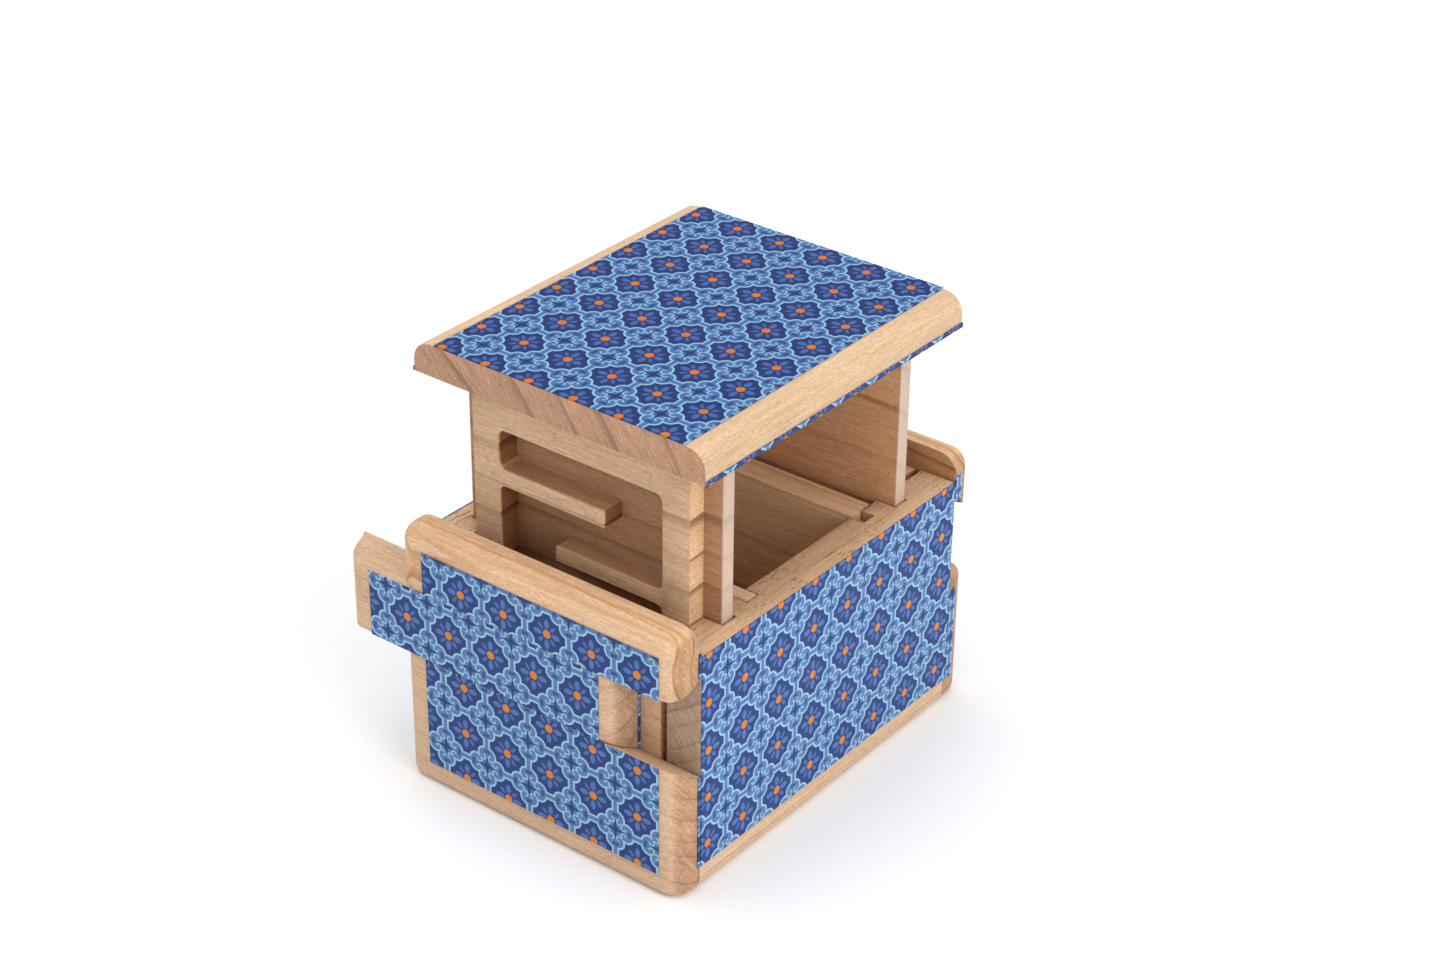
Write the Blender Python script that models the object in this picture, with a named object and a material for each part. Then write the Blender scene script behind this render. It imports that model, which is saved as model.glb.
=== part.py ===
"""Wooden puzzle box with two sliding end strips and a lid that lifts on routed maze boards.

The frame: the origin is the centre of the underside, +X runs across the box, +Y runs along it
from the near end to the far end, and +Z is up. All sizes are in metres. The rest pose has both
sliding strips pushed fully towards -X and the lid lifted part of the way out of the box.
"""
import math

import bmesh
import bpy
from mathutils import Matrix, Vector

# Overall body
LENGTH = 0.1200             # along Y, over both end plates
WIDTH = 0.0880              # along X, over both long walls
HEIGHT = 0.0734             # top of the fixed upper strips
ROUND_OVER = 0.0052         # outer edges of the end plates and the lid's long edges
FOOT_ROUND = 0.0022         # outer edges at the underside
ROUND_STEPS = 5
FOOT_STEPS = 3

# Clearances
GLUE_GAP = 0.0003           # between pieces that are glued face to face
SLIDE_GAP = 0.00035         # between a sliding strip and its dovetail ways

# Carcass
END_THICK = 0.0080          # end plates: upper strip, sliding strip and lower plate
BOARD_THICK = 0.0063        # bottom board
WALL_THICK = 0.01015        # long walls
WALL_TOP = 0.0663
CARCASS_LENGTH = LENGTH - 2 * END_THICK - 2 * GLUE_GAP
INNER_X = WIDTH / 2 - WALL_THICK
FLOOR_Z = BOARD_THICK + GLUE_GAP

# Cross walls that close the compartment, housed in the long walls by a tongue
CROSS_THICK = 0.00835
CROSS_TONGUE = 0.0041
CROSS_TONGUE_REACH = 0.0037
NEAR_CROSS_Y = -0.0222      # compartment side of the near cross wall
FAR_CROSS_Y = 0.02095       # compartment side of the far cross wall
CHIP_LENGTH = 0.0034        # broken corner at the top of the far cross wall's right tongue
CHIP_DEPTH = 0.0024

# Guide panels behind the sliding strips
GUIDE_THICK = 0.0055
GUIDE_HALF_WIDTH = 0.0320
GUIDE_TOP = 0.0660

# Dovetail ways, as heights on the outer and on the inner face of an end plate
LOW_SEAM_OUT = 0.0370
LOW_SEAM_IN = 0.0329
HIGH_SEAM_OUT = 0.0562
HIGH_SEAM_IN = 0.0603
SLIDER_TRAVEL = 0.0182      # each way from the closed middle place

# Guide keys, one glued to the back of each sliding strip
KEY_WIDTH = 0.0060
KEY_LOW = 0.0337
KEY_HIGH = 0.0381
KEY_TIP_Y = 0.0375          # distance of the key's tip from the middle of the box
KEY_ROUND = 0.0008
KEY_CLEARANCE = 0.0004      # round the key in the guide panel's slot

# Lid
LID_LIFT = 0.0442           # rest height above the closed place
LID_THICK = 0.0085
LID_HALF_LENGTH = 0.05085
LID_UNDERSIDE = WALL_TOP + GLUE_GAP + LID_LIFT

# Maze boards under the lid
MAZE_HEIGHT = 0.0575
MAZE_HALF_WIDTH = 0.0333    # thick part, between the long walls
MAZE_THICK = 0.0050         # thick part in front of the tongues
TONGUE_THICK = 0.0041
TONGUE_HALF_WIDTH = 0.0390  # over the tongues that run in the long walls
NEAR_TONGUE_Y = -0.0336     # compartment side of the near board's tongue
FAR_TONGUE_Y = 0.0326       # compartment side of the far board's tongue
GROOVE_HALF_REACH = 0.0395
GROOVE_PLAY_OUT = 0.0003    # beside the tongue, towards the end of the box
GROOVE_PLAY_IN = 0.0007     # beside the tongue, towards the compartment

# The routed maze, as depths below the lid's underside
MAZE_HALF_RUN = 0.0252
CHANNEL_1 = (0.0128, 0.0235)
CHANNEL_2 = (0.0280, 0.0388)
CHANNEL_3 = (0.0427, 0.0533)
BAR_FREE_END = 0.0076       # free end of each bar, from the middle of the board
MAZE_DEPTH = 0.0066
MAZE_CORNER = 0.0021
CORNER_STEPS = 5

# Printed sheets glued on the outside
SHEET = 0.00025
SHEET_GAP = 0.0001
FACE_SHEET_X = (-0.0355, 0.0382)
FACE_SHEET_Z = (0.0064, 0.0677)
LID_SHEET_X = (-0.0373, 0.0381)
SIDE_SHEET_TOP = 0.0675
SIDE_SHEET_FOOT = 0.0066
LID_STRIP_HEIGHT = 0.0012
LAP_NEAR = 0.0007           # width of the side sheet that laps onto the near end's pieces
LAP_FAR = 0.0027            # the same at the far end
LAP_TRIM = 0.0002           # lap ends stay inside the dovetail's edges
SHEET_OVERHANG = 0.0001     # the knife cut between two sheets is narrower than the seam

HANDS = ((-1, "left"), (1, "right"))

PINE = (0.72, 0.50, 0.30)
PINE_PALE = (0.79, 0.60, 0.40)
PINE_DARK = (0.55, 0.36, 0.21)
KEY_WOOD = (0.70, 0.53, 0.34)
PRINT_BLUE = (0.10, 0.19, 0.52)


def clear_scene():
    for item in list(bpy.data.objects):
        bpy.data.objects.remove(item, do_unlink=True)


def new_collection(name):
    collection = bpy.data.collections.new(name)
    bpy.context.scene.collection.children.link(collection)
    return collection


def finish_material(name, colour, roughness):
    material = bpy.data.materials.new(name)
    material.use_nodes = True
    shader = material.node_tree.nodes["Principled BSDF"]
    shader.inputs["Base Color"].default_value = (*colour, 1.0)
    shader.inputs["Roughness"].default_value = roughness
    shader.inputs["Metallic"].default_value = 0.0
    return material


def place(name, mesh, colour, parent, roughness=0.55):
    """Make the named piece from its mesh, with its own material, in the parent's coordinates."""
    piece = bpy.data.objects.new(name, mesh)
    PARTS.objects.link(piece)
    mesh.materials.append(finish_material(name + "_finish", colour, roughness))
    piece.parent = parent
    return piece


def mesh_from(bm, name):
    bmesh.ops.recalc_face_normals(bm, faces=bm.faces)
    mesh = bpy.data.meshes.new(name)
    bm.to_mesh(mesh)
    bm.free()
    return mesh


def block(low, high):
    """A box between two corners, as a bmesh."""
    low, high = Vector(low), Vector(high)
    bm = bmesh.new()
    bmesh.ops.create_cube(bm, size=1.0)
    bmesh.ops.scale(bm, vec=high - low, verts=bm.verts)
    bmesh.ops.translate(bm, vec=(low + high) / 2, verts=bm.verts)
    return bm


def outline_prism(points, start, end, turn=Matrix.Identity(4)):
    """A flat outline in the XY plane, carried from height start to end and then turned."""
    curve = bpy.data.curves.new("outline", "CURVE")
    curve.dimensions = "2D"
    curve.fill_mode = "BOTH"
    curve.extrude = (end - start) / 2
    spline = curve.splines.new("POLY")
    spline.points.add(len(points) - 1)
    for point, (x, y) in zip(spline.points, points):
        point.co = (x, y, 0.0, 1.0)
    spline.use_cyclic_u = True
    guide = bpy.data.objects.new("outline", curve)
    bpy.context.scene.collection.objects.link(guide)
    graph = bpy.context.evaluated_depsgraph_get()
    flat = bpy.data.meshes.new_from_object(guide.evaluated_get(graph))
    bm = bmesh.new()
    bm.from_mesh(flat)
    bmesh.ops.remove_doubles(bm, verts=bm.verts, dist=0.00001)
    for hand in (-1, 1):
        cap = [face for face in bm.faces if all(hand * vert.co.z > 0 for vert in face.verts)]
        bmesh.ops.dissolve_faces(bm, faces=cap)
    bmesh.ops.translate(bm, vec=(0, 0, (start + end) / 2), verts=bm.verts)
    bmesh.ops.transform(bm, matrix=turn, verts=bm.verts)
    bpy.data.objects.remove(guide)
    bpy.data.curves.remove(curve)
    bpy.data.meshes.remove(flat)
    return bm


def round_edges(bm, chosen, radius, steps=ROUND_STEPS):
    """Round every edge for which chosen(middle, direction) is true."""
    edges = []
    for edge in bm.edges:
        first, second = (vert.co for vert in edge.verts)
        if chosen((first + second) / 2, (second - first).normalized()):
            edges.append(edge)
    bmesh.ops.bevel(bm, geom=edges, offset=radius, segments=steps, profile=0.5, affect="EDGES")


def rounded_corners(corners):
    """Turn (x, y, radius) corners into outline points, with an arc where the radius isn't zero."""
    points = []
    for index, (x, y, radius) in enumerate(corners):
        here = Vector((x, y))
        if radius == 0.0:
            points.append((x, y))
            continue
        before = Vector(corners[index - 1][:2]) - here
        after = Vector(corners[(index + 1) % len(corners)][:2]) - here
        start = here + before.normalized() * radius
        finish = here + after.normalized() * radius
        centre = start + finish - here
        for step in range(CORNER_STEPS + 1):
            share = math.radians(90 * step / CORNER_STEPS)
            arm = (start - centre) * math.cos(share) + (finish - centre) * math.sin(share)
            points.append(tuple(centre + arm))
    return points


def cut_away(piece, cutter_mesh, name):
    cutter = bpy.data.objects.new(name, cutter_mesh)
    CUTTERS.objects.link(cutter)
    cutter.parent = piece.parent
    cutter.hide_render = True
    cutter.display_type = "WIRE"
    modifier = piece.modifiers.new(name, "BOOLEAN")
    modifier.operation = "DIFFERENCE"
    modifier.solver = "EXACT"
    modifier.object = cutter


def anchor(name, spot):
    """An empty on a sliding joint's axis, which carries the pieces that move together."""
    empty = bpy.data.objects.new(name, None)
    PARTS.objects.link(empty)
    empty.location = spot
    return empty


# The outline's own Z runs along the object's X or Y after these turns
ALONG_X = Matrix(((0, 0, 1, 0), (1, 0, 0, 0), (0, 1, 0, 0), (0, 0, 0, 1)))
ALONG_Y = Matrix(((1, 0, 0, 0), (0, 0, 1, 0), (0, 1, 0, 0), (0, 0, 0, 1)))


def long_wall(side):
    """A long wall with the lid's two grooves and the cross walls' two housings on its inner face."""
    groove = GROOVE_HALF_REACH
    housing = INNER_X + CROSS_TONGUE_REACH + GLUE_GAP
    near_tongue = NEAR_CROSS_Y - CROSS_TONGUE
    far_tongue = FAR_CROSS_Y + CROSS_TONGUE
    notches = (
        (NEAR_TONGUE_Y - TONGUE_THICK - GROOVE_PLAY_OUT, NEAR_TONGUE_Y + GROOVE_PLAY_IN, groove),
        (near_tongue - GLUE_GAP, NEAR_CROSS_Y + GLUE_GAP, housing),
        (FAR_CROSS_Y - GLUE_GAP, far_tongue + GLUE_GAP, housing),
        (FAR_TONGUE_Y - GROOVE_PLAY_IN, FAR_TONGUE_Y + TONGUE_THICK + GROOVE_PLAY_OUT, groove),
    )
    half = CARCASS_LENGTH / 2
    points = [(side * WIDTH / 2, half), (side * WIDTH / 2, -half), (side * INNER_X, -half)]
    for start, finish, reach in notches:
        points += [(side * INNER_X, start), (side * reach, start)]
        points += [(side * reach, finish), (side * INNER_X, finish)]
    points.append((side * INNER_X, half))
    return outline_prism(points, FLOOR_Z, WALL_TOP)


def cross_wall(face_y, away):
    """A cross wall: its compartment face is at face_y and its shoulders lie away from it."""
    reach = INNER_X + CROSS_TONGUE_REACH
    shoulder = INNER_X - GLUE_GAP
    step_y = face_y + away * CROSS_TONGUE
    back_y = face_y + away * CROSS_THICK
    points = [(-reach, face_y), (reach, face_y), (reach, step_y), (shoulder, step_y)]
    points += [(shoulder, back_y), (-shoulder, back_y), (-shoulder, step_y), (-reach, step_y)]
    return outline_prism(points, FLOOR_Z, WALL_TOP)


def end_profile(side, heights):
    """The cross-section of an end piece: heights are (outer low, outer high, inner low, inner high)."""
    outer_low, outer_high, inner_low, inner_high = heights
    outer = side * LENGTH / 2
    inner = side * (LENGTH / 2 - END_THICK)
    return [(outer, outer_low), (outer, outer_high), (inner, inner_high), (inner, inner_low)]


def end_piece(side, heights, centre=(0.0, 0.0, 0.0)):
    """An end piece across the whole width, with the edges that meet the hand rounded."""
    bm = outline_prism(end_profile(side, heights), -WIDTH / 2, WIDTH / 2, ALONG_X)
    outer = side * LENGTH / 2
    inner = side * (LENGTH / 2 - END_THICK)

    def outer_edge(middle, direction):
        upright = abs(direction.z) > 0.9 and abs(middle.y - outer) < GLUE_GAP
        crown = abs(middle.z - HEIGHT) < GLUE_GAP and abs(middle.y - inner) > GLUE_GAP
        return upright or crown

    def foot_edge(middle, direction):
        return middle.z < GLUE_GAP and abs(middle.y - inner) > GLUE_GAP

    round_edges(bm, outer_edge, ROUND_OVER)
    round_edges(bm, foot_edge, FOOT_ROUND, FOOT_STEPS)
    bmesh.ops.translate(bm, vec=-Vector(centre), verts=bm.verts)
    return bm


def bottom_board():
    half = CARCASS_LENGTH / 2
    bm = block((-WIDTH / 2, -half, 0.0), (WIDTH / 2, half, BOARD_THICK))
    round_edges(bm, lambda middle, direction: middle.z < GLUE_GAP and abs(direction.y) > 0.9,
                FOOT_ROUND, FOOT_STEPS)
    return bm


def guide_panel(side):
    face = side * CARCASS_LENGTH / 2
    back = side * (CARCASS_LENGTH / 2 - GUIDE_THICK)
    low = (-GUIDE_HALF_WIDTH, min(face, back), FLOOR_Z)
    high = (GUIDE_HALF_WIDTH, max(face, back), GUIDE_TOP)
    return block(low, high)


def guide_slot(side):
    """The level slot that a guide key travels along."""
    half = SLIDER_TRAVEL + KEY_WIDTH / 2 + KEY_CLEARANCE
    deep = sorted((side * LENGTH / 2, side * (CARCASS_LENGTH / 2 - 2 * GUIDE_THICK)))
    return block((-half, deep[0], KEY_LOW - KEY_CLEARANCE), (half, deep[1], KEY_HIGH + KEY_CLEARANCE))


def guide_key(side):
    """A small key that reaches from the sliding strip's back into the maze."""
    root = LENGTH / 2 - END_THICK - GLUE_GAP
    near, far = sorted((side * root, side * KEY_TIP_Y))
    bm = block((-KEY_WIDTH / 2, near, KEY_LOW), (KEY_WIDTH / 2, far, KEY_HIGH))
    round_edges(bm, lambda middle, direction: abs(direction.y) > 0.9, KEY_ROUND, FOOT_STEPS)
    return bm


def maze_board(side, tongue_y):
    """A maze board's plan, a thick part with a tongue at each end, carried down from the lid."""
    back = tongue_y
    step = tongue_y + side * TONGUE_THICK
    front = step + side * MAZE_THICK
    wide, narrow = TONGUE_HALF_WIDTH, MAZE_HALF_WIDTH
    points = [(-wide, back), (wide, back), (wide, step), (narrow, step)]
    points += [(narrow, front), (-narrow, front), (-narrow, step), (-wide, step)]
    top = -GLUE_GAP
    return outline_prism(points, top - MAZE_HEIGHT, top)


def maze_cut(side, tongue_y):
    """The routed maze: three level runs joined by drops at the right, the left and the foot."""
    run, free, corner = MAZE_HALF_RUN, BAR_FREE_END, MAZE_CORNER
    foot = -MAZE_HEIGHT - MAZE_THICK
    corners = [
        (-run, -CHANNEL_1[0], corner), (run, -CHANNEL_1[0], corner),
        (run, -CHANNEL_2[1], corner), (-free, -CHANNEL_2[1], 0.0),
        (-free, -CHANNEL_3[0], 0.0), (run, -CHANNEL_3[0], corner),
        (run, -CHANNEL_3[1], corner), (-free, -CHANNEL_3[1], 0.0),
        (-free, foot, 0.0), (-run, foot, 0.0),
        (-run, -CHANNEL_2[0], corner), (free, -CHANNEL_2[0], 0.0),
        (free, -CHANNEL_1[1], 0.0), (-run, -CHANNEL_1[1], corner),
    ]
    front = tongue_y + side * (TONGUE_THICK + MAZE_THICK)
    span = sorted((front - side * MAZE_DEPTH, front + side * MAZE_THICK))
    return outline_prism(rounded_corners(corners), span[0], span[1], ALONG_Y)


def lid_panel():
    half = WIDTH / 2
    bm = block((-half, -LID_HALF_LENGTH, 0.0), (half, LID_HALF_LENGTH, LID_THICK))
    round_edges(bm, lambda middle, direction: middle.z > LID_THICK - GLUE_GAP
                and abs(direction.y) > 0.9, ROUND_OVER)
    return bm


def face_sheet(side, low, high):
    """A printed sheet on the outer face of an end piece."""
    near, far = sorted((side * (LENGTH / 2 + SHEET_GAP), side * (LENGTH / 2 + SHEET_GAP + SHEET)))
    return block((FACE_SHEET_X[0], near, low), (FACE_SHEET_X[1], far, high))


def side_sheet(hand, start, finish, low, high):
    """A printed sheet on a long side, between two places along Y and two heights."""
    across = sorted((hand * (WIDTH / 2 + SHEET_GAP), hand * (WIDTH / 2 + SHEET_GAP + SHEET)))
    return block((across[0], start, low), (across[1], finish, high))


def side_lap(side, hand, heights):
    """The narrow lap of a side sheet on the end of an end piece, cut along the dovetail's slope."""
    outer_low, outer_high, inner_low, inner_high = heights
    width = LAP_NEAR if side < 0 else LAP_FAR
    share = width / END_THICK
    inner = side * (LENGTH / 2 - END_THICK)
    edge = inner + side * width
    edge_low = inner_low + (outer_low - inner_low) * share
    edge_high = inner_high + (outer_high - inner_high) * share
    outline = [(edge, edge_low), (edge, edge_high), (inner, inner_high), (inner, inner_low)]
    across = sorted((hand * (WIDTH / 2 + SHEET_GAP), hand * (WIDTH / 2 + SHEET_GAP + SHEET)))
    return outline_prism(outline, across[0], across[1], ALONG_X)


def build_carcass():
    place("bottom_board", mesh_from(bottom_board(), "bottom_board"), PINE, None)
    half = CARCASS_LENGTH / 2
    for hand, name in HANDS:
        place(name + "_wall", mesh_from(long_wall(hand), name + "_wall"), PINE, None)
        sheet = side_sheet(hand, -half, half, SIDE_SHEET_FOOT, WALL_TOP)
        place(name + "_wall_print", mesh_from(sheet, name + "_wall_print"), PRINT_BLUE, None, 0.4)
    near = cross_wall(NEAR_CROSS_Y, -1)
    place("near_cross_wall", mesh_from(near, "near_cross_wall"), PINE, None)
    far = cross_wall(FAR_CROSS_Y, 1)
    far_wall = place("far_cross_wall", mesh_from(far, "far_cross_wall"), PINE, None)
    chip = block((INNER_X + GLUE_GAP, FAR_CROSS_Y - GLUE_GAP, WALL_TOP - CHIP_DEPTH),
                 (INNER_X + 2 * CHIP_LENGTH, FAR_CROSS_Y + CROSS_THICK, WALL_TOP + CHIP_DEPTH))
    cut_away(far_wall, mesh_from(chip, "chip_cutter"), "chip_cutter")


def build_end(side, name):
    """One end of the box: guide panel, fixed strip, fixed plate, sliding strip, key and prints."""
    guide = place(name + "_guide_panel", mesh_from(guide_panel(side), name + "_guide_panel"),
                  PINE_DARK, None)
    cut_away(guide, mesh_from(guide_slot(side), name + "_slot_cutter"), name + "_slot_cutter")

    upper = end_piece(side, (HIGH_SEAM_OUT, HEIGHT, HIGH_SEAM_IN, HEIGHT))
    place(name + "_upper_strip", mesh_from(upper, name + "_upper_strip"), PINE_PALE, None)
    lower = end_piece(side, (0.0, LOW_SEAM_OUT, 0.0, LOW_SEAM_IN))
    place(name + "_lower_plate", mesh_from(lower, name + "_lower_plate"), PINE_PALE, None)

    middle_y = side * (LENGTH - END_THICK) / 2
    middle = Vector((0.0, middle_y, (LOW_SEAM_OUT + HIGH_SEAM_OUT) / 2))
    carriage = anchor(name + "_slider_axis", middle + Vector((-SLIDER_TRAVEL, 0.0, 0.0)))
    strip = end_piece(side, (LOW_SEAM_OUT + SLIDE_GAP, HIGH_SEAM_OUT - SLIDE_GAP,
                             LOW_SEAM_IN + SLIDE_GAP, HIGH_SEAM_IN - SLIDE_GAP), middle)
    place(name + "_slider", mesh_from(strip, name + "_slider"), PINE_PALE, carriage)
    key = guide_key(side)
    bmesh.ops.translate(key, vec=-middle, verts=key.verts)
    place(name + "_guide_key", mesh_from(key, name + "_guide_key"), KEY_WOOD, carriage)

    foot, top = FACE_SHEET_Z
    crown = SIDE_SHEET_TOP
    prints = (
        ("upper_strip", HIGH_SEAM_OUT - SHEET_OVERHANG, top, None,
         (HIGH_SEAM_OUT + LAP_TRIM, crown, HIGH_SEAM_IN + LAP_TRIM, crown)),
        ("lower_plate", foot, LOW_SEAM_OUT + SHEET_OVERHANG, None,
         (foot, LOW_SEAM_OUT - LAP_TRIM, foot, LOW_SEAM_IN - LAP_TRIM)),
        ("slider", LOW_SEAM_OUT + SLIDE_GAP - SHEET_OVERHANG,
         HIGH_SEAM_OUT - SLIDE_GAP + SHEET_OVERHANG, carriage,
         (LOW_SEAM_OUT + SLIDE_GAP + LAP_TRIM, HIGH_SEAM_OUT - SLIDE_GAP - LAP_TRIM,
          LOW_SEAM_IN + SLIDE_GAP + LAP_TRIM, HIGH_SEAM_IN - SLIDE_GAP - LAP_TRIM)),
    )
    for piece, low, high, parent, lap_heights in prints:
        origin = middle if parent else Vector()
        face = face_sheet(side, low, high)
        bmesh.ops.translate(face, vec=-origin, verts=face.verts)
        label = name + "_" + piece + "_print"
        place(label, mesh_from(face, label), PRINT_BLUE, parent, 0.4)
        for hand, hand_name in HANDS:
            lap = side_lap(side, hand, lap_heights)
            bmesh.ops.translate(lap, vec=-origin, verts=lap.verts)
            label = name + "_" + piece + "_" + hand_name + "_lap"
            place(label, mesh_from(lap, label), PRINT_BLUE, parent, 0.4)


def build_lid():
    lift = anchor("lid_axis", (0.0, 0.0, LID_UNDERSIDE))
    place("lid_panel", mesh_from(lid_panel(), "lid_panel"), PINE, lift)
    base = LID_THICK + SHEET_GAP
    top_sheet = block((LID_SHEET_X[0], -LID_HALF_LENGTH, base),
                      (LID_SHEET_X[1], LID_HALF_LENGTH, base + SHEET))
    place("lid_print", mesh_from(top_sheet, "lid_print"), PRINT_BLUE, lift, 0.4)
    for hand, hand_name in HANDS:
        strip = side_sheet(hand, -LID_HALF_LENGTH, LID_HALF_LENGTH, 0.0, LID_STRIP_HEIGHT)
        label = "lid_" + hand_name + "_lap"
        place(label, mesh_from(strip, label), PRINT_BLUE, lift, 0.4)
    for side, name, tongue_y in ((-1, "near", NEAR_TONGUE_Y), (1, "far", FAR_TONGUE_Y)):
        label = name + "_maze_board"
        board = place(label, mesh_from(maze_board(side, tongue_y), label), PINE_DARK, lift)
        cutter = name + "_maze_cutter"
        cut_away(board, mesh_from(maze_cut(side, tongue_y), cutter), cutter)


clear_scene()
PARTS = new_collection("wooden_puzzle_box")
CUTTERS = new_collection("cutters")
build_carcass()
build_end(-1, "near")
build_end(1, "far")
build_lid()
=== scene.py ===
import math

import bpy
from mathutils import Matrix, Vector


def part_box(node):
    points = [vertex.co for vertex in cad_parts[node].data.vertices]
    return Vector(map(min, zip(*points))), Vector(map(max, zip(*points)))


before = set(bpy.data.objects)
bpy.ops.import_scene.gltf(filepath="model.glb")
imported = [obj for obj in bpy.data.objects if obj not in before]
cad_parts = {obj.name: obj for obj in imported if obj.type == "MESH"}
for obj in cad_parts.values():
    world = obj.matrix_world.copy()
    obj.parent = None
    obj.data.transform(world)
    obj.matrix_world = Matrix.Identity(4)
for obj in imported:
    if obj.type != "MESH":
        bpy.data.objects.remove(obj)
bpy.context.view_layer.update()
scene = bpy.context.scene


# Bottom board: one flat pine board, planed and lightly waxed, glued under the two long walls and
# between the end plates. Its grain runs along the box, and only its long edges are seen, below
# the printed sides.

MM = 1000.0                  # grain is laid out in millimetres
GRAIN_AXES = {"x": (1, 2, 0), "y": (0, 2, 1), "z": (0, 1, 2)}
ARRIS = 0.00028              # sandpaper takes this much off each sharp edge
ROUTED_ARRIS = 0.00015       # edges left as the router and the saw cut them
ARRIS_ANGLE = 40             # degrees; only edges sharper than this are sanded off
SHADE_ANGLE = 32             # degrees; gentler edges are shaded as one surface
WELD = 0.000002
GRAIN_DEPTH = 0.00008        # relief of the grain under a thin coat of wax
WAX_GLOSS = 0.30
DASH_SHADE = 0.42            # resin lines and pores against the late wood's colour
PORE_SHADE = 0.45
SAW_SLANT = 0.7              # slope of the saw's marks across the end grain


class Value:
    """A number or direction that varies over a piece. Arithmetic on it adds steps to its finish."""

    def __init__(self, finish, socket):
        self.finish = finish
        self.socket = socket

    def step(self, operation, *others):
        node = self.finish.node_tree.nodes.new("ShaderNodeMath")
        node.operation = operation
        for socket, value in zip(node.inputs, (self, *others)):
            feed(self.finish, socket, value)
        return Value(self.finish, node.outputs[0])

    def __add__(self, other):
        return self.step("ADD", other)

    def __sub__(self, other):
        return self.step("SUBTRACT", other)

    def __mul__(self, other):
        return self.step("MULTIPLY", other)

    def __truediv__(self, other):
        return self.step("DIVIDE", other)

    def size(self):
        return self.step("ABSOLUTE")

    def least(self, other):
        return self.step("MINIMUM", other)

    def most(self, other):
        return self.step("MAXIMUM", other)

    def rise(self, start, end):
        """0 below start, 1 above end and a smooth slope between; start may be above end."""
        node = self.finish.node_tree.nodes.new("ShaderNodeMapRange")
        node.interpolation_type = "SMOOTHSTEP"
        feed(self.finish, node.inputs[0], self)
        flip = start > end
        node.inputs[1].default_value = min(start, end)
        node.inputs[2].default_value = max(start, end)
        node.inputs[3].default_value = 1.0 if flip else 0.0
        node.inputs[4].default_value = 0.0 if flip else 1.0
        return Value(self.finish, node.outputs[0])


def feed(finish, socket, value):
    if isinstance(value, Value):
        finish.node_tree.links.new(value.socket, socket)
    else:
        socket.default_value = value


def distance(across, up):
    return (across * across + up * up).step("SQRT")


def joined(x, y, z):
    """Three values, the first of which varies, as one place or colour."""
    node = x.finish.node_tree.nodes.new("ShaderNodeCombineXYZ")
    for socket, value in zip(node.inputs, (x, y, z)):
        feed(x.finish, socket, value)
    return Value(x.finish, node.outputs[0])


def parted(place):
    node = place.finish.node_tree.nodes.new("ShaderNodeSeparateXYZ")
    feed(place.finish, node.inputs[0], place)
    return [Value(place.finish, socket) for socket in node.outputs]


def mottle(place, detail=2.0, roughness=0.5):
    """Soft random variation between 0 and 1, one unit of place across."""
    node = place.finish.node_tree.nodes.new("ShaderNodeTexNoise")
    feed(place.finish, node.inputs["Vector"], place)
    node.inputs["Scale"].default_value = 1.0
    node.inputs["Detail"].default_value = detail
    node.inputs["Roughness"].default_value = roughness
    return Value(place.finish, node.outputs[0])


def blended(share, first, second, kind="MIX"):
    """The first colour where share is 0 and the second where it is 1."""
    node = share.finish.node_tree.nodes.new("ShaderNodeMix")
    node.data_type = "RGBA"
    node.blend_type = kind
    feed(share.finish, node.inputs["Factor"], share)
    colours = [socket for socket in node.inputs if socket.type == "RGBA"]
    for socket, colour in zip(colours, (first, second)):
        feed(share.finish, socket, colour if isinstance(colour, Value) else (*colour, 1.0))
    out = next(socket for socket in node.outputs if socket.type == "RGBA")
    return Value(share.finish, out)


def tinted(colour, tone):
    """The colour times a tone, channel by channel."""
    node = colour.finish.node_tree.nodes.new("ShaderNodeVectorMath")
    node.operation = "MULTIPLY"
    feed(colour.finish, node.inputs[0], colour)
    feed(colour.finish, node.inputs[1], tone)
    return Value(colour.finish, node.outputs[0])


def shaded(colour, amount):
    """The colour made lighter or darker by an amount near 1."""
    return tinted(colour, joined(amount, amount, amount))


def new_finish(name):
    """A new finish, its place on the piece in millimetres and its facing direction."""
    finish = bpy.data.materials.new(name)
    finish.use_nodes = True
    tree = finish.node_tree
    where = tree.nodes.new("ShaderNodeTexCoord")
    scaled = tree.nodes.new("ShaderNodeVectorMath")
    scaled.operation = "SCALE"
    scaled.inputs["Scale"].default_value = MM
    tree.links.new(where.outputs["Object"], scaled.inputs[0])
    return finish, Value(finish, scaled.outputs[0]), Value(finish, where.outputs["Normal"])


def surface(finish, colour, roughness, height, depth, gloss):
    """Joins the worked-out colour, roughness and relief to the finish's own shader."""
    tree = finish.node_tree
    shader = tree.nodes["Principled BSDF"]
    shader.inputs["Specular IOR Level"].default_value = gloss
    feed(finish, shader.inputs["Base Color"], colour)
    feed(finish, shader.inputs["Roughness"], roughness)
    relief = tree.nodes.new("ShaderNodeBump")
    relief.inputs["Strength"].default_value = 1.0
    relief.inputs["Distance"].default_value = depth
    feed(finish, relief.inputs["Height"], height)
    tree.links.new(relief.outputs[0], shader.inputs["Normal"])
    return finish


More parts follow.
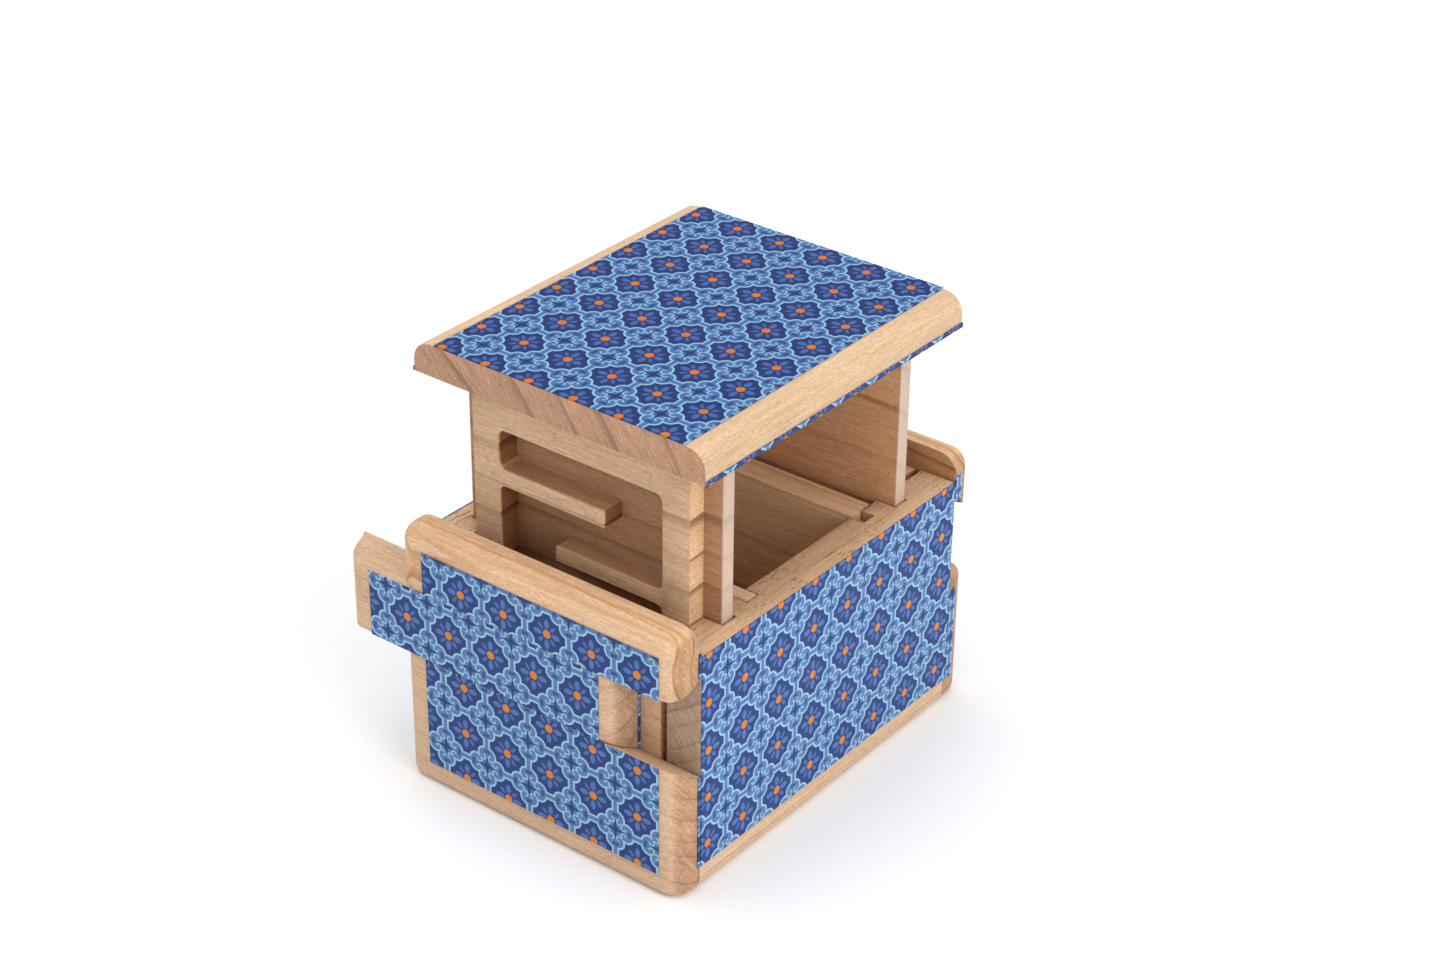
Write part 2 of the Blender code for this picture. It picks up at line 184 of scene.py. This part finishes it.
def pine(name, along, heart, rings, pale, late, line=0.5, grain=0.5, end_tone=(0.74, 0.70, 0.68),
         lean=0.0, flecks=0.5, wander=2.2, saw=0.42, seed=0.0, tones=None):
    """Sawn pine. The grain runs along x, y or z; heart is the middle of the tree in the plane
    across it, and rings the width of one year's growth, in millimetres. Line is the strength of
    the dark line at each year's end, grain that of the fine streaks between and saw that of the
    saw's marks across the end grain. Tones adds what is special to one piece."""
    finish, place, facing = new_finish(name)
    parts = parted(place)
    first, second, length = (parts[index] for index in GRAIN_AXES[along])
    facings = parted(facing)
    end = facings[GRAIN_AXES[along][2]].size().rise(0.45, 0.85)

    sway = mottle(joined(first / 26 + seed, second / 26, length / 85), 3.0) - 0.5
    shift = mottle(joined(second / 24, first / 24 + seed, length / 75), 3.0) - 0.5
    across = first - heart[0] + sway * wander + length * lean
    through = second - heart[1] + shift * wander
    radius = distance(across, through)
    uneven = mottle(joined(radius / rings * 0.7 + seed, 0.0, 0.0), 0.0) - 0.5
    year = radius / rings + uneven * 1.1
    share = year.step("FRACT")
    late_wood = share.rise(0.30, 0.95) * 0.22 + share.rise(0.82, 0.95) * 0.78
    late_wood = late_wood * share.rise(1.0, 0.97)
    strong = mottle(joined(first / 12, second / 12 + seed, length / 60), 2.0).rise(0.30, 0.70)
    streaks = mottle(joined(radius / 0.85, seed, length / 110), 5.0, 0.75).rise(0.38, 0.72)
    stripe = late_wood * (strong * 0.6 + 0.4) * line
    stripe = stripe.most(streaks * (late_wood * 0.6 + 0.4) * grain)

    strands = mottle(joined(first / 0.6 + seed, second / 0.6, length / 13), 4.0, 0.65)
    fine = mottle(joined(first / 0.3, second / 0.3, length / 1.5 + seed), 3.0, 0.7)
    warmth = mottle(joined(first / 17, second / 17, length / 48 + seed), 3.0, 0.6)
    colour = blended(stripe, pale, late)
    depth = (warmth * 0.24 + 0.88) * (strands * 0.75 + 0.625) * (fine + 0.50)
    colour = shaded(colour, depth)

    dash = mottle(joined(first / 0.36, second / 0.36 + seed, length / 3.2), 1.0, 0.4)
    patch = mottle(joined(first / 8, second / 8, length / 12 + seed), 1.0)
    dark_dash = dash.rise(0.74 - flecks * 0.13, 0.80 - flecks * 0.12) * patch.rise(0.40, 0.58)
    dark_dash = dark_dash * flecks
    side_only = end * -1.0 + 1.0
    colour = blended(dark_dash * side_only, colour, [part * DASH_SHADE for part in late])

    pores = mottle(joined(first / 0.26, second / 0.26, seed), 3.0, 0.75)
    holes = mottle(joined(first / 0.34, second / 0.34, seed + 9), 1.0, 0.4).rise(0.66, 0.74)
    teeth = mottle(joined((first + second * SAW_SLANT) / 0.42,
                          (second - first * SAW_SLANT) / 7.0, seed), 2.0, 0.6)
    end_marks = pores * 0.60 + teeth.rise(0.30, 0.75) * saw + (0.69 - saw * 0.5)
    sawn = shaded(tinted(colour, end_tone), end_marks)
    dark_marks = (late_wood * line * 0.8).most(holes * 0.8)
    sawn = blended(dark_marks, sawn, [part * PORE_SHADE for part in late])
    colour = blended(end, colour, sawn)
    if tones:
        colour = tones(colour, parts, facings)

    roughness = (strands * 0.16 + 0.50).most(end * 0.78)
    height = strands * 0.5 + fine * 0.5 - stripe * 0.3 - dark_dash * 0.8 + end * pores
    return surface(finish, colour, roughness, height, GRAIN_DEPTH, WAX_GLOSS)


def relief_steps():
    """Steps that join a piece's facets back into one skin, without stored facings."""
    group = bpy.data.node_groups.new("joined_facets", "GeometryNodeTree")
    for way in ("INPUT", "OUTPUT"):
        group.interface.new_socket("Geometry", in_out=way, socket_type="NodeSocketGeometry")
    enter = group.nodes.new("NodeGroupInput")
    leave = group.nodes.new("NodeGroupOutput")
    merge = group.nodes.new("GeometryNodeMergeByDistance")
    merge.inputs["Distance"].default_value = WELD
    forget = group.nodes.new("GeometryNodeRemoveAttribute")
    forget.inputs["Name"].default_value = "custom_normal"
    group.links.new(enter.outputs[0], merge.inputs["Geometry"])
    group.links.new(merge.outputs[0], forget.inputs["Geometry"])
    group.links.new(forget.outputs[0], leave.inputs[0])
    return group


def shade_steps(limit):
    """Steps that shade a piece smooth, apart from edges sharper than the limit."""
    group = bpy.data.node_groups.new("sanded_shading", "GeometryNodeTree")
    for way in ("INPUT", "OUTPUT"):
        group.interface.new_socket("Geometry", in_out=way, socket_type="NodeSocketGeometry")
    enter = group.nodes.new("NodeGroupInput")
    leave = group.nodes.new("NodeGroupOutput")
    faces = group.nodes.new("GeometryNodeSetShadeSmooth")
    edges = group.nodes.new("GeometryNodeSetShadeSmooth")
    edges.domain = "EDGE"
    angle = group.nodes.new("GeometryNodeInputMeshEdgeAngle")
    compare = group.nodes.new("FunctionNodeCompare")
    compare.operation = "GREATER_THAN"
    compare.inputs[1].default_value = limit
    edges.inputs["Shade Smooth"].default_value = False
    group.links.new(enter.outputs[0], faces.inputs["Geometry"])
    group.links.new(faces.outputs[0], edges.inputs["Geometry"])
    group.links.new(angle.outputs[0], compare.inputs[0])
    group.links.new(compare.outputs[0], edges.inputs["Selection"])
    group.links.new(edges.outputs[0], leave.inputs[0])
    return group


JOINED_FACETS = relief_steps()
SANDED_SHADING = shade_steps(math.radians(SHADE_ANGLE))


def sanded(node, finish, arris=ARRIS, steps=2):
    """Gives a piece of the frame its finish and takes its sharp edges off."""
    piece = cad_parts[node]
    for index in range(len(piece.data.materials)):
        piece.data.materials[index] = finish
    join = piece.modifiers.new("joined_facets", "NODES")
    join.node_group = JOINED_FACETS
    if arris:
        edge = piece.modifiers.new("arris", "BEVEL")
        edge.width = arris
        edge.segments = steps
        edge.limit_method = "ANGLE"
        edge.angle_limit = math.radians(ARRIS_ANGLE)
        edge.use_clamp_overlap = True
    shade = piece.modifiers.new("sanded_shading", "NODES")
    shade.node_group = SANDED_SHADING
    return piece


PALE_PINE = (0.64, 0.43, 0.27)
LATE_PINE = (0.36, 0.19, 0.09)
board_low, board_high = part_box("bottom_board")
sanded("bottom_board", pine("bottom_board_pine", "y", (8.0, -46.0), 3.4, PALE_PINE, LATE_PINE,
                            line=0.45, seed=1.3))


# Long walls: two thick pine boards with upright grooves, in which the lid's maze boards slide, and
# housings for the cross walls. Their top edges are bare and planed, with short dark resin lines,
# and their sawn ends show beside the sliding strips.

for hand, node in ((1, "right_wall"), (-1, "left_wall")):
    sanded(node, pine(node + "_pine", "y", (hand * -30.0, 150.0), 4.2, (0.66, 0.44, 0.27),
                      LATE_PINE, line=0.35, grain=0.45, end_tone=(0.71, 0.74, 0.88), flecks=1.0,
                      seed=hand * 2.7))


# Cross walls: two boards across the box, glued into the long walls' housings, that close the
# compartment at both ends. The far one has a small broken corner at its right tongue.

for node, seed in (("near_cross_wall", 4.1), ("far_cross_wall", 5.6)):
    sanded(node, pine(node + "_pine", "x", (40.0 * seed, -20.0), 5.0, (0.70, 0.47, 0.29), LATE_PINE,
                      line=0.8, grain=0.85, seed=seed))


# Guide panels: thin darker boards upright behind the sliding strips, each with a level slot for
# the strip's key. They are glued to the bottom board and hidden apart from one edge.

for node, seed in (("near_guide_panel", 6.2), ("far_guide_panel", 7.9)):
    sanded(node, pine(node + "_pine", "x", (60.0, 140.0), 4.0, (0.56, 0.36, 0.21), LATE_PINE,
                      line=0.5, seed=seed))


# Fixed end pieces: an upper strip and a lower plate at each end, glued to the ends of the long
# walls. They are paler pine, well sanded, with rounded outer edges and dovetailed ways cut for
# the strip that slides between them.

# painted shade: a strip's face into the box sits under the lid, and this darker, browner tone
# stands in for its shadow
INWARD_SHADE_TONE = (0.62, 0.50, 0.42)
AMBER = (0.50, 0.24, 0.07)
AMBER_STREAKS = ((55.4, 0.8, 0.60), (57.9, 0.9, 0.35))  # distance out, half width and strength


def strip_tones(side):
    """The resin streaks along a strip's crown, and painted shade, darker and browner, on its face
    into the box under the lid.
    """
    def apply(colour, parts, facings):
        sway = (mottle(joined(parts[0] / 26, side * 3.0, 0.0), 2.0) - 0.5) * 2.4
        for out, half, strength in AMBER_STREAKS:
            streak = (parts[1].size() - out + sway).size().rise(half, 0.1)
            colour = blended(streak * strength, colour, AMBER)
        # painted shade on the face into the box, under the lid
        return blended((facings[1] * -side).rise(0.7, 0.95), colour, INWARD_SHADE_TONE, "MULTIPLY")
    return apply


for end, seed in (("near", 8.4), ("far", 9.7)):
    side = -1 if end == "near" else 1
    sanded(end + "_upper_strip", pine(end + "_upper_pine", "x", (side * 40.0, 64.0), 3.6,
                                      (0.70, 0.465, 0.285), (0.44, 0.19, 0.055),
                                      line=1.0, grain=0.7, lean=0.03, seed=seed,
                                      tones=strip_tones(side)))
    sanded(end + "_lower_plate", pine(end + "_lower_pine", "x", (side * 20.0, 90.0), 5.5,
                                      (0.615, 0.410, 0.258), LATE_PINE, line=0.40, grain=0.5,
                                      end_tone=(0.82, 0.72, 0.66), seed=seed + 3))


# Sliding strips: a pine strip at each end with dovetailed edges, wider at the back, so that it can
# only slide sideways. A small hardwood key is glued to the back of each and runs in the maze.

for end, seed in (("near", 12.5), ("far", 13.8)):
    side = -1 if end == "near" else 1
    sanded(end + "_slider", pine(end + "_slider_pine", "x", (side * 30.0, 10.0), 6.0,
                                 (0.615, 0.410, 0.258), LATE_PINE, line=0.40, grain=0.5, seed=seed))
    sanded(end + "_guide_key", pine(end + "_key_wood", "y", (60.0, 0.0), 2.2, (0.60, 0.41, 0.25),
                                    LATE_PINE, line=0.4, seed=seed + 1), arris=ROUTED_ARRIS)


# Lid: one pine board with its two long edges rounded over. Its grain runs along the box, so both
# short ends show bare, greyer end grain with wide growth rings.

sanded("lid_panel", pine("lid_pine", "y", (-95.0, 40.0), 12.5, (0.63, 0.43, 0.265), LATE_PINE,
                         line=0.45, grain=0.4, end_tone=(0.80, 0.68, 0.70), flecks=0.2, wander=3.0,
                         seed=15.1))


# Maze boards: two boards glued upright under the lid. Each has a routed maze on its outer face and
# a thin tongue at both ends that runs in the long walls' grooves. Their grain lies level, the
# routed floors are browner, partly their own wood and partly painted shade in the recess, the backs
# into the compartment carry painted shade from the lid above, and the tongues' ends are paler.

MAZE_FACE = {"near_maze_board": 42.7, "far_maze_board": 41.7}  # outer face from the box's middle
MAZE_HALF = 33.3             # half width of the thick part, between the long walls
# partly the routed wood's own browner tone, partly painted shade in the maze's recess and on the
# tongues' shaded step
ROUTED_SHADE_TONE = (0.66, 0.53, 0.45)
# partly the board's own browner back, partly painted shade and bounce light under the lid
BACK_SHADE_TONE = (0.92, 0.78, 0.66)
SCORCHED_TONE = (0.55, 0.43, 0.36)
TIP = (0.54, 0.425, 0.355)


def maze_tones(face):
    """The browner, slightly scorched wood inside the routed maze, partly painted shade in its
    recess, the board's browner back, partly painted shade under the lid, and the tongues' pale
    tips.
    """
    def apply(colour, parts, facings):
        out = parts[0].size()
        depth = parts[1].size() * -1.0 + face
        cut = depth.rise(0.15, 0.9) * depth.rise(8.9, 8.6)
        cut = cut * out.rise(MAZE_HALF - 0.1, MAZE_HALF - 0.4)
        step = depth.rise(4.7, 4.9) * depth.rise(5.4, 5.2) * out.rise(MAZE_HALF, MAZE_HALF + 0.2)
        cut = cut.most(step)
        # partly painted shade: darker and browner inside the routed recess
        colour = blended(cut, colour, ROUTED_SHADE_TONE, "MULTIPLY")
        colour = blended(cut * facings[0].size().rise(0.6, 0.9), colour, SCORCHED_TONE, "MULTIPLY")
        # partly painted shade: the board's back, facing the compartment under the lid, made browner
        colour = blended(depth.rise(8.9, 9.05), colour, BACK_SHADE_TONE, "MULTIPLY")
        return blended(out.rise(38.6, 38.9) * 0.8, colour, TIP)
    return apply


for node, seed in (("near_maze_board", 17.3), ("far_maze_board", 18.9)):
    sanded(node, pine(node + "_pine", "x", (-36.0, 8.0), 11.0,
                      (0.62, 0.41, 0.255), (0.30, 0.15, 0.065), line=0.8, grain=0.6,
                      end_tone=(1.22, 1.16, 1.06), flecks=0.5, wander=1.6,
                      saw=0.10, seed=seed, tones=maze_tones(MAZE_FACE[node])), arris=ROUTED_ARRIS)


# Printed sheets: thin paper sheets with a repeated flower and scroll print, glued to the outside
# and sealed with a clear coat. They are cut along every seam, where a few specks of bare wood show.

PRINT_WIDE = 13.70
PRINT_HIGH = 13.44
PRINT_LONG = 13.67
LID_START = (-35.2, -50.1)
# the same print made darker and deeper on the lid's top only
LID_DEEPENING = 1.22               # the lid's sheet reads deeper than the sides
PAPER_DEPTH = 0.00002
COAT_GLOSS = 0.10
SLANT = math.sqrt(0.5)
# The repeat's outline, as shares of its width from the flower's centre
NECK = 0.4375
LOBE_AT = (0.455, 0.25)
LOBE_RADIUS = 0.155
CUSP = 0.46
CURL_AT = (0.415, 0.318)
CURL_RADIUS = 0.052
NAVY = (0.026, 0.052, 0.180)
PETAL = (0.080, 0.165, 0.410)
SCROLL = (0.096, 0.190, 0.390)
LINE = (0.300, 0.510, 0.690)
STAR = (0.024, 0.050, 0.175)
ORANGE = (0.620, 0.205, 0.033)
BARE = (0.60, 0.50, 0.40)


def printed(name, across, up, start, repeat, seams=(), deepening=1.0):
    """The print laid out on two of the axes, from a flower's centre, with its two repeats. A
    deepening above 1 makes its colours deeper."""
    finish, place, _ = new_finish(name)
    parts = parted(place)
    tile = []
    for axis, first, width in ((across, start[0], repeat[0]), (up, start[1], repeat[1])):
        turned = ((parts[axis] - first) / width + 200.5).step("FRACT") - 0.5
        tile.append(turned.size())
    reach = tile[0].most(tile[1])
    beside = tile[0].least(tile[1])
    radius = distance(reach, beside)

    lobe = distance(reach - LOBE_AT[0], beside - LOBE_AT[1])
    field = (reach - NECK).most(lobe * -1.0 + LOBE_RADIUS).most(radius - CUSP)
    inside = field.rise(0.006, -0.006)
    outline = field.size().rise(0.026, 0.012)

    curl_reach = reach - CURL_AT[0]
    curl_beside = beside - CURL_AT[1]
    curl = (distance(curl_reach, curl_beside) - CURL_RADIUS).size().rise(0.022, 0.011)
    gap = curl_reach.rise(0.0, -0.012) * curl_beside.rise(0.030, 0.018)
    curl = curl * (gap * -1.0 + 1.0)

    grain = mottle(joined(parts[0] / 0.22, parts[1] / 0.22, parts[2] / 0.22), 3.0, 0.7)
    from_corner = distance(reach * -1.0 + 0.5, beside * -1.0 + 0.5)
    along_edge = reach * -1.0 + 0.5
    arms = along_edge.rise(0.045, 0.010) * beside.rise(0.25, 0.36)
    star = from_corner.rise(0.115, 0.04).most(arms)
    eye = distance(reach - 0.47, beside - 0.18).rise(0.06, 0.02)
    shade = star.most(eye * 0.8)
    ground = blended(shade, SCROLL, STAR)

    petal = distance((reach - 0.205) / 0.105, beside / 0.062)
    diagonal = (reach + beside) * SLANT
    sideways = (reach - beside) * SLANT
    small_petal = distance((diagonal - 0.195) / 0.085, sideways / 0.040)
    petals = petal.rise(1.10, 0.70).most(small_petal.rise(1.10, 0.65) * 0.85)
    flower = blended(petals * (grain * 0.7 + 0.62), NAVY, PETAL)
    centre = (radius + grain * 0.012).rise(0.100, 0.080)
    flower = blended(centre, flower, ORANGE)

    colour = blended(inside, ground, flower)
    colour = blended(outline.most(curl * 0.85), colour, LINE)
    if deepening != 1.0:
        deeper = finish.node_tree.nodes.new("ShaderNodeGamma")
        deeper.inputs["Gamma"].default_value = deepening
        feed(finish, deeper.inputs["Color"], colour)
        colour = Value(finish, deeper.outputs[0])
    colour = shaded(colour, grain * 0.50 + 0.76)

    specks = mottle(joined(parts[0] / 0.55, parts[1] / 0.55, parts[2] / 0.55), 2.0, 0.6)
    for height in seams:
        near_seam = (parts[2] - height).size().rise(0.42, 0.12)
        colour = blended(near_seam * specks.rise(0.60, 0.68), colour, BARE)
    roughness = grain * 0.14 + 0.42
    return surface(finish, colour, roughness, grain, PAPER_DEPTH, COAT_GLOSS)


SEAM_LOW = 37.0
SEAM_HIGH = 56.2
FLOWER_START = (-22.86, 7.02)
SIDE_START = (-49.08, 12.15)
HOME_SHIFT = 18.2
LID_DROP = 44.2
end_repeat = (PRINT_WIDE, PRINT_HIGH)
side_repeat = (PRINT_LONG, PRINT_HIGH)
seams = (SEAM_LOW, SEAM_HIGH)
end_print = printed("end_print", 0, 2, FLOWER_START, end_repeat, seams)
moved = (FLOWER_START[0] - HOME_SHIFT, FLOWER_START[1])
strip_print = printed("sliding_strip_print", 0, 2, moved, end_repeat, seams)
side_print = printed("side_print", 1, 2, SIDE_START, side_repeat)
lid_print = printed("lid_print_sheet", 0, 1, LID_START, (PRINT_HIGH, PRINT_LONG), deepening=LID_DEEPENING)
lid_edge_start = (SIDE_START[0], SIDE_START[1] + LID_DROP)
lid_edge_print = printed("lid_edge_print", 1, 2, lid_edge_start, side_repeat)
sheets = {"lid_print": lid_print, "lid_left_lap": lid_edge_print, "lid_right_lap": lid_edge_print,
          "left_wall_print": side_print, "right_wall_print": side_print}
for end in ("near", "far"):
    faces = {"upper_strip": end_print, "lower_plate": end_print, "slider": strip_print}
    for piece, face in faces.items():
        sheets[f"{end}_{piece}_print"] = face
        sheets[f"{end}_{piece}_left_lap"] = side_print
        sheets[f"{end}_{piece}_right_lap"] = side_print
for node, face in sheets.items():
    sanded(node, face, arris=0.0)


# Stage: a plain pale floor, soft daylight from all round and two large soft lamps, one at the right
# front and one above, and the camera.

FLOOR_REACH = 4.0
FLOOR_GAP = 0.0002           # between the floor and the underside
FLOOR_GLOSS = 0.1
DAYLIGHT = 0.80
floor_mesh = bpy.data.meshes.new("floor")
corners = [(side * FLOOR_REACH, end * FLOOR_REACH, 0)
           for side, end in ((-1, -1), (1, -1), (1, 1), (-1, 1))]
floor_mesh.from_pydata(corners, [], [(0, 1, 2, 3)])
floor = bpy.data.objects.new("floor", floor_mesh)
floor.location.z = board_low[2] - FLOOR_GAP
scene.collection.objects.link(floor)
floor_finish, floor_place, _ = new_finish("floor_paper")
floor_grain = mottle(floor_place / 0.8, 2.0)
floor_tone = floor_grain * 0.01 + 0.925
surface(floor_finish, joined(floor_tone, floor_tone, floor_tone), floor_grain * 0.05 + 0.90,
        floor_grain, 0.00001, FLOOR_GLOSS)
floor_mesh.materials.append(floor_finish)

sky = bpy.data.worlds.new("daylight")
sky.use_nodes = True
sky.node_tree.nodes["Background"].inputs[0].default_value = (1.0, 1.0, 1.0, 1.0)
sky.node_tree.nodes["Background"].inputs[1].default_value = DAYLIGHT
scene.world = sky
scene.view_settings.view_transform = "Standard"


def soft_lamp(name, spot, wide, watts, aim=(0.0, 0.0, 0.05)):
    light = bpy.data.lights.new(name, "AREA")
    light.shape = "DISK"
    light.size = wide
    light.energy = watts
    lamp = bpy.data.objects.new(name, light)
    lamp.location = spot
    lamp.rotation_euler = (Vector(aim) - Vector(spot)).to_track_quat("-Z", "Y").to_euler()
    scene.collection.objects.link(lamp)


soft_lamp("lamp_right", (2.4, -0.35, 1.1), 2.0, 31.0)
soft_lamp("lamp_above", (-0.2, -0.1, 1.4), 1.2, 8.0)

camera_data = bpy.data.cameras.new("camera")
camera_data.lens = 72.07
camera_data.sensor_width = 36.0
camera_data.clip_start = 0.05
camera_data.clip_end = 20.0
camera = bpy.data.objects.new("camera", camera_data)
camera.location = (0.38523, -0.48786, 0.43093)
camera.rotation_euler = [math.radians(angle) for angle in (60.133, -0.643, 37.963)]
scene.collection.objects.link(camera)
scene.camera = camera
